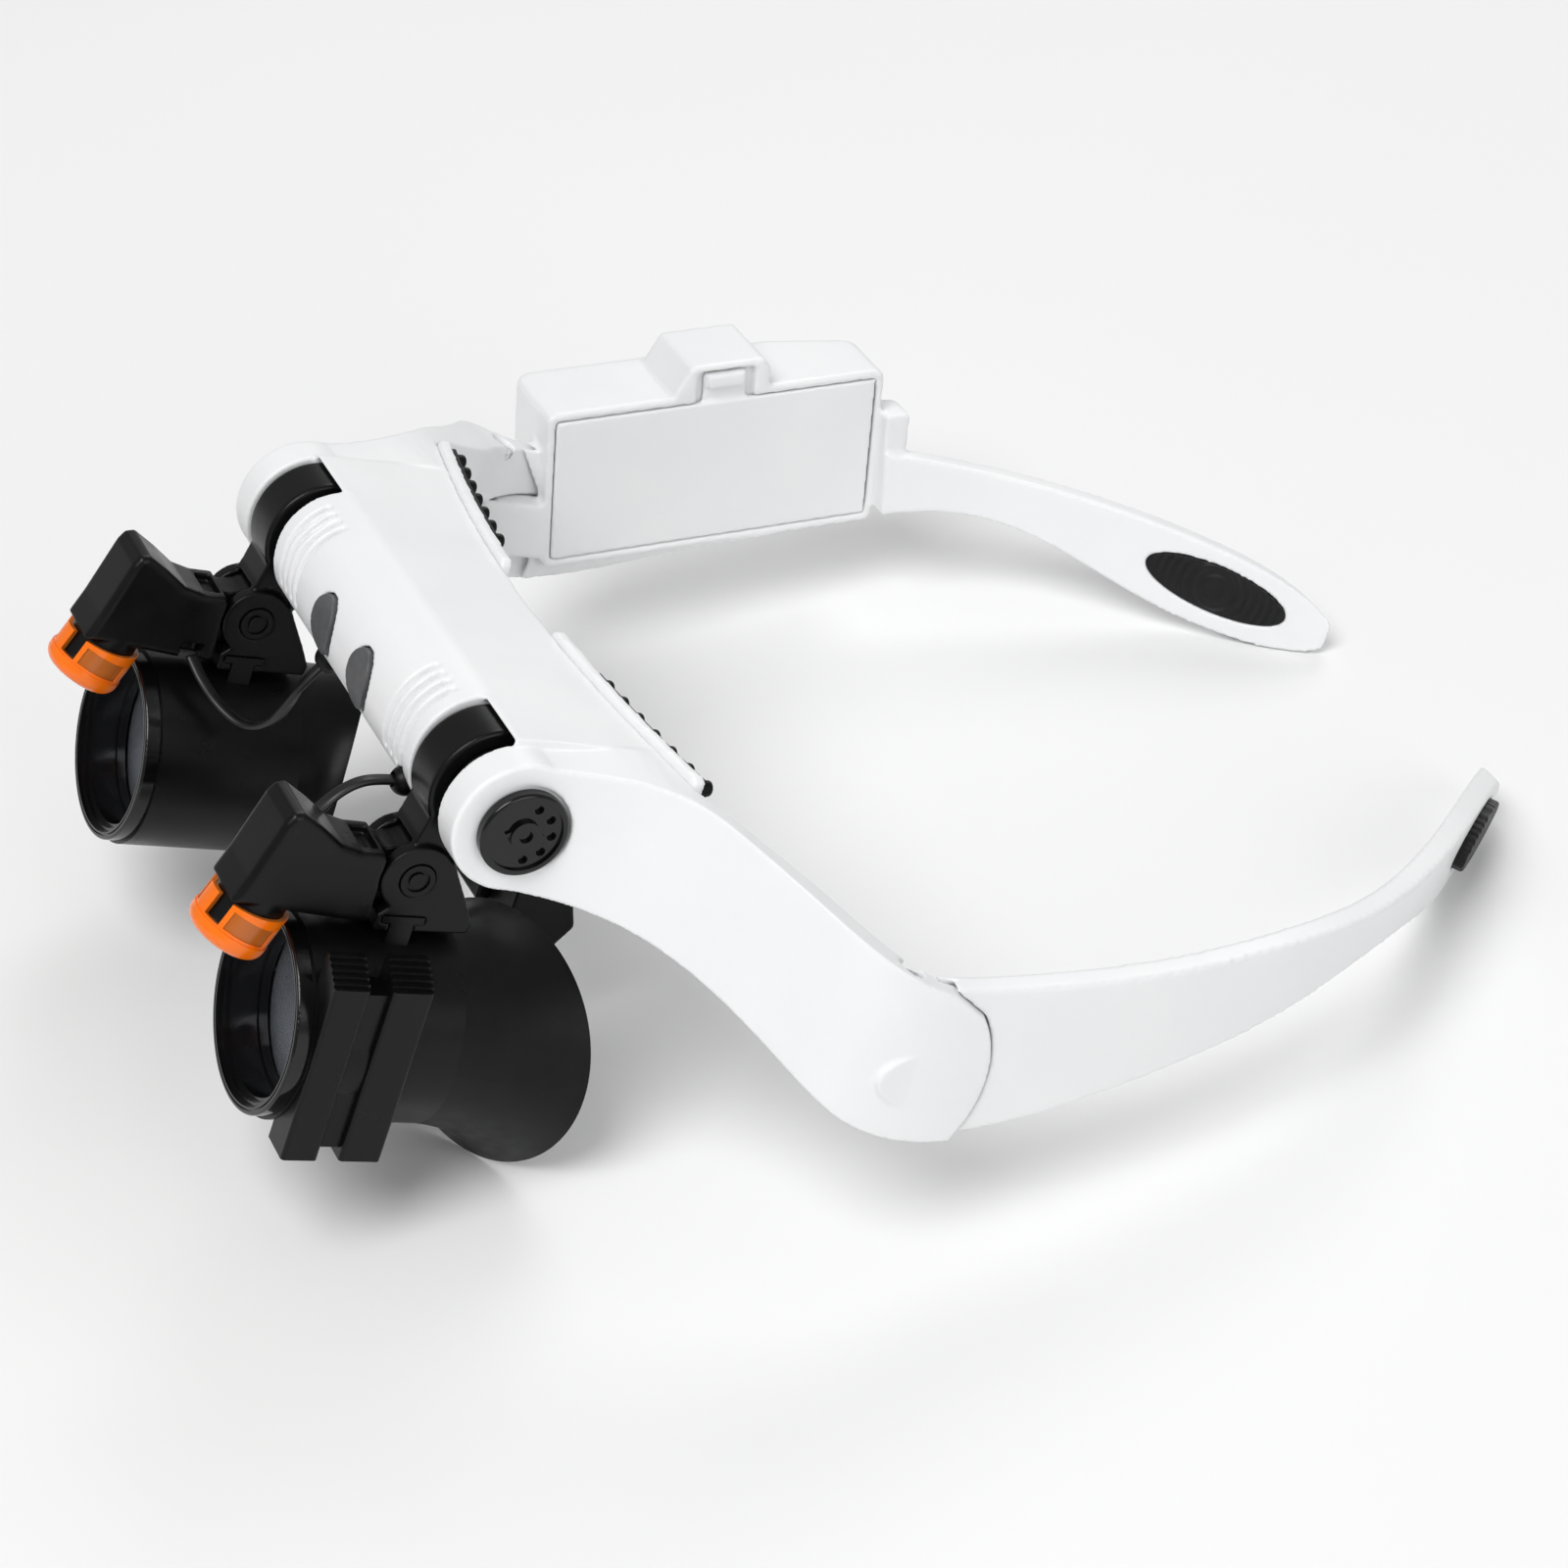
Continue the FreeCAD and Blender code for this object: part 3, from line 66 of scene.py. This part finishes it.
make_camera()
bpy.context.scene.view_settings.view_transform = "Standard"

# ---- where things stand ----------------------------------------------------------------
STAND_PITCH = math.radians(21.3)
STAND_SHIFT = Vector((4.631, -92.095, 33.097))
LAMP_X = {"left": 31.35, "right": -34.05}
LAMP_Y = -4.5
LAMP_Z = 15.16
LAMP_LEAN = math.radians(22.2)
CAP_PANEL_RADIUS = 5.12
CAP_WALL_RADIUS = 5.22
CAP_LIP_START = 3.4
PAD_X = 37.4
PAD_Y = 176.0
PAD_Z = 41.0
PAD_RINGS_PER_METRE = 260.0


def placed(x, y, z):
    """A point of the wearer's level frame, in millimetres, in the standing frame in metres."""
    turned_y = y * math.cos(STAND_PITCH) + z * math.sin(STAND_PITCH)
    turned_z = -y * math.sin(STAND_PITCH) + z * math.cos(STAND_PITCH)
    return (Vector((x, turned_y, turned_z)) + STAND_SHIFT) * MM


# ---- materials -------------------------------------------------------------------------

def new_material(name, colour, roughness):
    """Plain shader to build a finish on; returns the material."""
    material = bpy.data.materials.new(name)
    material.use_nodes = True
    shader = material.node_tree.nodes["Principled BSDF"]
    shader.inputs["Base Color"].default_value = (*colour, 1.0)
    shader.inputs["Roughness"].default_value = roughness
    return material


def shader_of(material):
    return material.node_tree.nodes["Principled BSDF"]


def noise(material, scale, detail=3.0, stretch=(1.0, 1.0, 1.0)):
    """Noise in the object's own space; scale is in waves per metre."""
    nodes, links = material.node_tree.nodes, material.node_tree.links
    place = nodes.new("ShaderNodeTexCoord")
    shape = nodes.new("ShaderNodeMapping")
    shape.inputs["Scale"].default_value = stretch
    texture = nodes.new("ShaderNodeTexNoise")
    texture.inputs["Scale"].default_value = scale
    texture.inputs["Detail"].default_value = detail
    links.new(place.outputs["Object"], shape.inputs["Vector"])
    links.new(shape.outputs["Vector"], texture.inputs["Vector"])
    return texture


def spread_roughness(material, scale, low, high):
    """Roughness that drifts between two values."""
    nodes, links = material.node_tree.nodes, material.node_tree.links
    texture = noise(material, scale)
    remap = nodes.new("ShaderNodeMapRange")
    remap.inputs["From Min"].default_value = 0.3
    remap.inputs["From Max"].default_value = 0.7
    remap.inputs["To Min"].default_value = low
    remap.inputs["To Max"].default_value = high
    links.new(texture.outputs["Fac"], remap.inputs["Value"])
    links.new(remap.outputs["Result"], shader_of(material).inputs["Roughness"])


def spread_colour(material, scale, first, second):
    """Base colour that drifts between two shades."""
    nodes, links = material.node_tree.nodes, material.node_tree.links
    texture = noise(material, scale, detail=4.0)
    ramp = nodes.new("ShaderNodeValToRGB")
    ramp.color_ramp.elements[0].position = 0.35
    ramp.color_ramp.elements[1].position = 0.65
    ramp.color_ramp.elements[0].color = (*first, 1.0)
    ramp.color_ramp.elements[1].color = (*second, 1.0)
    links.new(texture.outputs["Fac"], ramp.inputs["Fac"])
    links.new(ramp.outputs["Color"], shader_of(material).inputs["Base Color"])


def add_bump(material, texture, strength, depth):
    """Let a texture's height stir the surface; depth in metres."""
    nodes, links = material.node_tree.nodes, material.node_tree.links
    bump = nodes.new("ShaderNodeBump")
    bump.inputs["Strength"].default_value = strength
    bump.inputs["Distance"].default_value = depth
    links.new(texture.outputs["Fac"], bump.inputs["Height"])
    normal = shader_of(material).inputs["Normal"]
    if normal.is_linked:
        links.new(normal.links[0].from_socket, bump.inputs["Normal"])
    links.new(bump.outputs["Normal"], normal)


def white_plastic():
    """Satin white moulded ABS with a faint mould flow."""
    material = new_material("white_plastic", (0.80, 0.81, 0.82), 0.34)
    spread_colour(material, 40.0, (0.80, 0.81, 0.82), (0.83, 0.835, 0.84))
    spread_roughness(material, 120.0, 0.30, 0.42)
    add_bump(material, noise(material, 1800.0, 2.0), 0.12, 0.00004)
    shader = shader_of(material)
    shader.inputs["IOR"].default_value = 1.5
    shader.inputs["Subsurface Weight"].default_value = 0.06
    shader.inputs["Subsurface Radius"].default_value = (0.0015, 0.0013, 0.0011)
    return material


def black_plastic():
    """Fine-textured black moulding that catches soft highlights."""
    material = new_material("black_plastic", (0.004, 0.004, 0.0045), 0.36)
    spread_colour(material, 90.0, (0.0022, 0.0022, 0.0025), (0.0034, 0.0034, 0.0037))
    spread_roughness(material, 260.0, 0.27, 0.36)
    add_bump(material, noise(material, 5200.0, 2.0), 0.2, 0.00002)
    shader_of(material).inputs["Specular IOR Level"].default_value = 0.22
    return material


def ribbed_rubber(side):
    """Rubber with fine raised rings about the middle of the temple's oval pad."""
    material = new_material("ribbed_rubber_" + side, (0.005, 0.005, 0.0055), 0.5)
    nodes, links = material.node_tree.nodes, material.node_tree.links
    sign = 1 if side == "left" else -1
    place = nodes.new("ShaderNodeTexCoord")
    local = nodes.new("ShaderNodeMapping")
    local.vector_type = "TEXTURE"
    local.inputs["Location"].default_value = placed(sign * PAD_X, PAD_Y, PAD_Z)
    rings = nodes.new("ShaderNodeTexWave")
    rings.wave_type = "RINGS"
    rings.rings_direction = "SPHERICAL"
    rings.inputs["Scale"].default_value = PAD_RINGS_PER_METRE
    rings.inputs["Distortion"].default_value = 0.0
    links.new(place.outputs["Object"], local.inputs["Vector"])
    links.new(local.outputs["Vector"], rings.inputs["Vector"])
    spread_roughness(material, 500.0, 0.42, 0.55)
    add_bump(material, rings, 0.9, 0.0003)
    shader_of(material).inputs["Specular IOR Level"].default_value = 0.3
    return material


def black_rubber():
    """Soft matt rubber, slightly dusty."""
    material = new_material("black_rubber", (0.005, 0.005, 0.0055), 0.46)
    spread_colour(material, 150.0, (0.0024, 0.0024, 0.0027), (0.0036, 0.0036, 0.0039))
    spread_roughness(material, 400.0, 0.34, 0.44)
    add_bump(material, noise(material, 6500.0, 3.0), 0.2, 0.00002)
    shader_of(material).inputs["Specular IOR Level"].default_value = 0.18
    return material


def gloss_black():
    """Polished black of the bezel and the tension discs."""
    material = new_material("gloss_black", (0.003, 0.003, 0.0034), 0.2)
    spread_roughness(material, 500.0, 0.10, 0.2)
    add_bump(material, noise(material, 900.0, 2.0), 0.06, 0.00002)
    shader_of(material).inputs["Specular IOR Level"].default_value = 0.4
    return material


def grey_plastic():
    """Dark grey button plastic."""
    material = new_material("grey_plastic", (0.075, 0.078, 0.082), 0.5)
    spread_colour(material, 300.0, (0.070, 0.073, 0.077), (0.088, 0.091, 0.095))
    spread_roughness(material, 700.0, 0.42, 0.56)
    add_bump(material, noise(material, 5000.0, 2.0), 0.2, 0.00003)
    return material


def orange_plastic(side):
    """Clear orange moulding, browner in the thin panels that let the black tube show."""
    material = new_material("orange_plastic_" + side, (1.0, 0.18, 0.0), 0.2)
    nodes, links = material.node_tree.nodes, material.node_tree.links
    place = nodes.new("ShaderNodeTexCoord")
    local = nodes.new("ShaderNodeMapping")
    local.vector_type = "TEXTURE"
    local.inputs["Location"].default_value = placed(LAMP_X[side], LAMP_Y, LAMP_Z)
    local.inputs["Rotation"].default_value = (math.pi - STAND_PITCH - LAMP_LEAN, 0.0, 0.0)
    flatten = nodes.new("ShaderNodeVectorMath")
    flatten.operation = "MULTIPLY"
    flatten.inputs[1].default_value = (1.0, 1.0, 0.0)
    distance = nodes.new("ShaderNodeVectorMath")
    distance.operation = "LENGTH"
    panel = nodes.new("ShaderNodeMapRange")
    panel.inputs["From Min"].default_value = CAP_PANEL_RADIUS * MM
    panel.inputs["From Max"].default_value = CAP_WALL_RADIUS * MM
    parts = nodes.new("ShaderNodeSeparateXYZ")
    lip = nodes.new("ShaderNodeMapRange")
    lip.inputs["From Min"].default_value = CAP_LIP_START * MM
    lip.inputs["From Max"].default_value = (CAP_LIP_START + 0.1) * MM
    either = nodes.new("ShaderNodeMath")
    either.operation = "MAXIMUM"
    links.new(place.outputs["Object"], local.inputs["Vector"])
    links.new(local.outputs["Vector"], parts.inputs["Vector"])
    links.new(parts.outputs["Z"], lip.inputs["Value"])
    links.new(panel.outputs["Result"], either.inputs[0])
    links.new(lip.outputs["Result"], either.inputs[1])
    links.new(local.outputs["Vector"], flatten.inputs[0])
    links.new(flatten.outputs["Vector"], distance.inputs[0])
    links.new(distance.outputs["Value"], panel.inputs["Value"])
    blend = nodes.new("ShaderNodeMix")
    blend.data_type = "RGBA"
    blend.inputs["A"].default_value = (0.50, 0.13, 0.012, 1.0)
    blend.inputs["B"].default_value = (1.0, 0.19, 0.002, 1.0)
    links.new(either.outputs["Value"], blend.inputs["Factor"])
    links.new(blend.outputs["Result"], shader_of(material).inputs["Base Color"])
    spread_roughness(material, 500.0, 0.14, 0.26)
    add_bump(material, noise(material, 700.0, 2.0), 0.1, 0.00005)
    shader = shader_of(material)
    shader.inputs["Transmission Weight"].default_value = 0.08
    shader.inputs["IOR"].default_value = 1.49
    shader.inputs["Subsurface Weight"].default_value = 0.3
    shader.inputs["Subsurface Radius"].default_value = (0.003, 0.0012, 0.0004)
    return material


def lens_glass():
    """Coated optical glass."""
    material = new_material("lens_glass", (0.66, 0.67, 0.68), 0.02)
    spread_colour(material, 2600.0, (0.62, 0.63, 0.64), (0.72, 0.73, 0.74))
    spread_roughness(material, 300.0, 0.01, 0.05)
    add_bump(material, noise(material, 120.0, 1.0), 0.03, 0.00003)
    shader = shader_of(material)
    shader.inputs["Transmission Weight"].default_value = 0.76
    shader.inputs["IOR"].default_value = 1.6
    shader.inputs["Coat Weight"].default_value = 0.5
    shader.inputs["Coat Roughness"].default_value = 0.03
    shader.inputs["Coat Tint"].default_value = (0.80, 0.88, 1.0, 1.0)
    return material


def led_resin():
    """Clear epoxy of the diode."""
    material = new_material("led_resin", (0.95, 0.95, 0.88), 0.06)
    spread_roughness(material, 900.0, 0.04, 0.10)
    shader = shader_of(material)
    shader.inputs["Transmission Weight"].default_value = 0.7
    shader.inputs["IOR"].default_value = 1.53
    return material


def steel():
    """Turned bright steel."""
    material = new_material("steel", (0.60, 0.60, 0.61), 0.25)
    spread_roughness(material, 900.0, 0.18, 0.36)
    add_bump(material, noise(material, 3000.0, 2.0, (0.1, 1.0, 1.0)), 0.15, 0.00003)
    shader_of(material).inputs["Metallic"].default_value = 1.0
    return material


def contact_plate():
    """Nickel-plated spring brass."""
    material = new_material("contact_plate", (0.72, 0.66, 0.50), 0.3)
    spread_colour(material, 400.0, (0.70, 0.63, 0.46), (0.76, 0.71, 0.58))
    spread_roughness(material, 700.0, 0.22, 0.4)
    shader_of(material).inputs["Metallic"].default_value = 1.0
    return material


def cell_jacket():
    """Plain dark green sleeve of a dry cell."""
    material = new_material("cell_jacket", (0.03, 0.10, 0.06), 0.3)
    spread_colour(material, 200.0, (0.025, 0.09, 0.05), (0.04, 0.12, 0.07))
    spread_roughness(material, 300.0, 0.24, 0.36)
    return material


def circuit_board():
    """Green board lacquer over copper."""
    material = new_material("circuit_board", (0.02, 0.16, 0.06), 0.4)
    spread_colour(material, 900.0, (0.015, 0.12, 0.05), (0.03, 0.20, 0.08))
    spread_roughness(material, 900.0, 0.3, 0.5)
    return material


def lead_jacket():
    """Soft PVC jacket."""
    material = new_material("lead_jacket", (0.004, 0.004, 0.0044), 0.4)
    spread_colour(material, 300.0, (0.0036, 0.0036, 0.004), (0.0052, 0.0052, 0.0056))
    spread_roughness(material, 500.0, 0.34, 0.46)
    add_bump(material, noise(material, 3500.0, 2.0), 0.2, 0.00003)
    return material


MATERIALS = {
    "white_plastic": white_plastic(),
    "black_plastic": black_plastic(),
    "black_rubber": black_rubber(),
    "grey_plastic": grey_plastic(),
    "lens_glass": lens_glass(),
    "led_resin": led_resin(),
    "steel": steel(),
    "contact_plate": contact_plate(),
    "cell_jacket": cell_jacket(),
    "circuit_board": circuit_board(),
    "lead_jacket": lead_jacket(),
}
OWN_MATERIALS = {}
for side in ("left", "right"):
    OWN_MATERIALS[side + "_lamp_cap"] = orange_plastic(side)
    OWN_MATERIALS[side + "_tip_pad"] = ribbed_rubber(side)
GLOSS_BLACK = gloss_black()
for gloss_name in ("bezel_ring", "knob", "retaining_ring"):
    OWN_MATERIALS["left_" + gloss_name] = GLOSS_BLACK
    OWN_MATERIALS["right_" + gloss_name] = GLOSS_BLACK


def paint(piece, material):
    """Put one material in all of a piece's slots."""
    piece.data.materials.clear()
    piece.data.materials.append(material)


def finish_nodes():
    """Give every CAD node its finish."""
    for row in frame["record"]["subparts"]:
        node = frame["nodes"][row["node"]]
        if row["node"] in OWN_MATERIALS:
            paint(node, OWN_MATERIALS[row["node"]])
        else:
            paint(node, MATERIALS[row["material_slot"]])


finish_nodes()


def round_off(name, voxel, passes):
    """Round a moulding's sharp edges: an even skin over it, then a few smoothing passes."""
    node = frame["nodes"][name]
    skin = node.modifiers.new("skin", "REMESH")
    skin.mode = "VOXEL"
    skin.voxel_size = voxel
    skin.use_smooth_shade = True
    smooth = node.modifiers.new("smooth", "SMOOTH")
    smooth.factor = 0.5
    smooth.iterations = passes


ROUNDED = {
    "brow_shell": (0.28, 3),
    "left_temple": (0.38, 5),
    "right_temple": (0.38, 5),
    "battery_lid": (0.3, 3),
    "left_forehead_plate": (0.3, 4),
    "right_forehead_plate": (0.3, 4),
    "left_lamp_housing": (0.2, 5),
    "right_lamp_housing": (0.2, 5),
    "left_swing_arm": (0.2, 4),
    "right_swing_arm": (0.2, 4),
    "nose_pad": (0.25, 6),
    "nose_bracket": (0.25, 4),
    "left_button": (0.15, 3),
    "right_button": (0.15, 3),
}
for rounded_name, (voxel_mm, smooth_passes) in ROUNDED.items():
    round_off(rounded_name, voxel_mm * MM, smooth_passes)

# ---- lamp leads ------------------------------------------------------------------------
LEAD_HALF_WIDE = 0.95
LEAD_HALF_THICK = 0.6
LEAD_WAIST = 0.22
LEAD_SIDES = 16
LEAD_LINE_STEPS = 12
LEFT_LEAD = [(26.1, 2.9, 24.0), (24.7, 4.3, 25.0), (24.1, 7.6, 28.3), (23.9, 11.4, 29.6),
             (23.9, 16.4, 29.4)]
RIGHT_LEAD = [(-28.8, 6.5, 16.6), (-26.2, 7.3, 14.9), (-22.8, 9.8, 12.4), (-18.8, 12.4, 11.6),
              (-15.4, 14.4, 14.4), (-13.0, 14.9, 18.8), (-12.0, 15.6, 23.4), (-12.0, 18.9, 27.9)]


def lead_line(name, route):
    """Points along the smooth line that the route steers."""
    curve = bpy.data.curves.new(name + "_line", "CURVE")
    curve.dimensions = "3D"
    spline = curve.splines.new("NURBS")
    spline.points.add(len(route) - 1)
    for point, place in zip(spline.points, route):
        point.co = (*placed(*place), 1.0)
    spline.order_u = 3
    spline.use_endpoint_u = True
    spline.resolution_u = LEAD_LINE_STEPS
    line = bpy.data.objects.new(name + "_line", curve)
    mesh = bpy.data.meshes.new_from_object(line)
    points = [vertex.co.copy() for vertex in mesh.vertices]
    bpy.data.objects.remove(line)
    return points


def make_lead(side, route):
    """Flat twin-core lead swept along its line."""
    name = side + "_lead"
    points = lead_line(name, route)
    vertices = []
    faces = []
    section = LEAD_SIDES
    up = Vector((0.0, 0.35, 1.0)).normalized()
    for index, point in enumerate(points):
        ahead = points[min(index + 1, len(points) - 1)]
        behind = points[max(index - 1, 0)]
        along = (ahead - behind).normalized()
        across = along.cross(up).normalized()
        normal = across.cross(along).normalized()
        for step in range(section):
            angle = 2 * math.pi * step / section
            waist = 1.0 - LEAD_WAIST * math.sin(angle) ** 8
            wide = across * (LEAD_HALF_WIDE * MM * math.cos(angle))
            thick = normal * (LEAD_HALF_THICK * MM * math.sin(angle) * waist)
            vertices.append(point + wide + thick)
    rings = len(points)
    for ring in range(rings - 1):
        for step in range(section):
            after = (step + 1) % section
            first = ring * section
            second = first + section
            faces.append((first + step, first + after, second + after, second + step))
    faces.append(tuple(range(section))[::-1])
    faces.append(tuple(range((rings - 1) * section, rings * section)))
    mesh = bpy.data.meshes.new(name + "_flex")
    mesh.from_pydata(vertices, [], faces)
    for polygon in mesh.polygons:
        polygon.use_smooth = True
    piece = bpy.data.objects.new(name + "_flex", mesh)
    bpy.context.scene.collection.objects.link(piece)
    paint(piece, MATERIALS["lead_jacket"])
    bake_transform(piece)
    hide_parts(name)
    return piece


make_lead("left", LEFT_LEAD)
make_lead("right", RIGHT_LEAD)

# ---- studio ----------------------------------------------------------------------------

FLOOR_REACH = 3.0
SKY_STRENGTH = 0.38
AIM_HEIGHT = 0.03


def make_floor():
    """Pale matt table."""
    mesh = bpy.data.meshes.new("floor")
    reach = FLOOR_REACH
    corners = [(-reach, -reach, 0.0), (reach, -reach, 0.0), (reach, reach, 0.0), (-reach, reach, 0.0)]
    mesh.from_pydata(corners, [], [(0, 1, 2, 3)])
    floor = bpy.data.objects.new("floor", mesh)
    bpy.context.scene.collection.objects.link(floor)
    material = new_material("floor", (0.86, 0.86, 0.86), 0.7)
    spread_colour(material, 2.0, (0.85, 0.85, 0.85), (0.87, 0.87, 0.87))
    paint(floor, material)


def make_light(name, place, size, power):
    """Large soft lamp aimed at the object's middle."""
    data = bpy.data.lights.new(name, "AREA")
    data.shape = "DISK"
    data.size = size
    data.energy = power
    light = bpy.data.objects.new(name, data)
    bpy.context.scene.collection.objects.link(light)
    light.location = place
    aim = Vector((0.0, 0.0, AIM_HEIGHT)) - Vector(place)
    light.rotation_euler = aim.to_track_quat("-Z", "Y").to_euler()


def make_world():
    """Even white surroundings."""
    world = bpy.data.worlds.new("studio")
    world.use_nodes = True
    background = world.node_tree.nodes["Background"]
    background.inputs["Color"].default_value = (1.0, 1.0, 1.0, 1.0)
    background.inputs["Strength"].default_value = SKY_STRENGTH
    bpy.context.scene.world = world


make_floor()
make_world()
make_light("key", (0.56, -0.88, 1.68), 1.2, 25.0)
make_light("fill", (1.6, 0.4, 0.8), 1.2, 7.0)
make_light("back", (-1.1, 1.0, 1.2), 1.0, 8.0)
